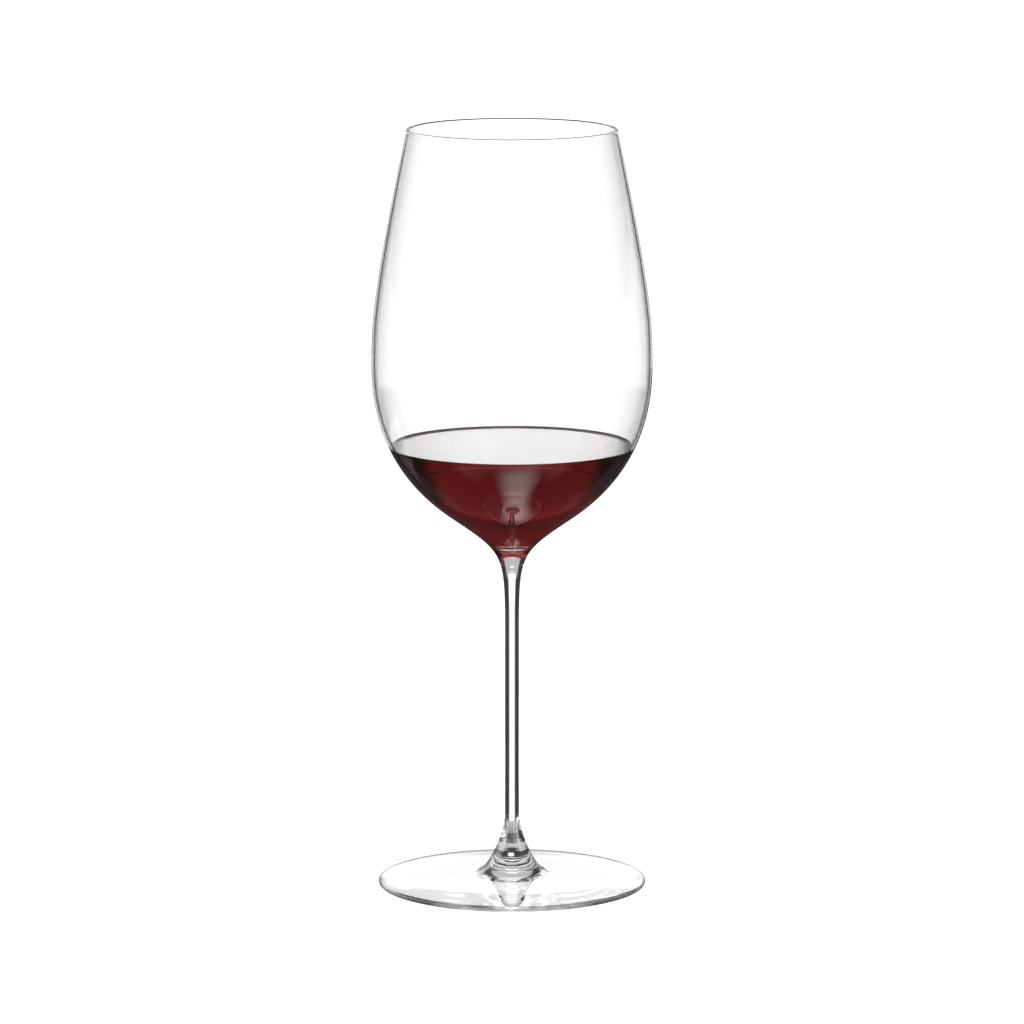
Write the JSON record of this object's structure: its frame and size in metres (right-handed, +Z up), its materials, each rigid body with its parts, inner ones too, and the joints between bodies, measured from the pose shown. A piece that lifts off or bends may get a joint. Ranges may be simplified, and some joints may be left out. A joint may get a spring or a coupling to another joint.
{
  "type": "glass of red wine",
  "caption": "Tall stemmed glass with a wide bowl that narrows to a rounded lip, a slim drawn stem and a round foot, filled with deep red wine to its lower third.",
  "frame": {"origin": "centre of the foot, at the height of the table it stands on", "axes": "+Z up along the stem and the bowl, which are round about it"},
  "size_m": [0.099, 0.099, 0.27],
  "materials": {
    "glass": "polished clear crystal",
    "wine": "clear deep red liquid"
  },
  "bodies": {
    "root": {"glass": "glass", "wine": "wine"}
  },
  "joints": []
}
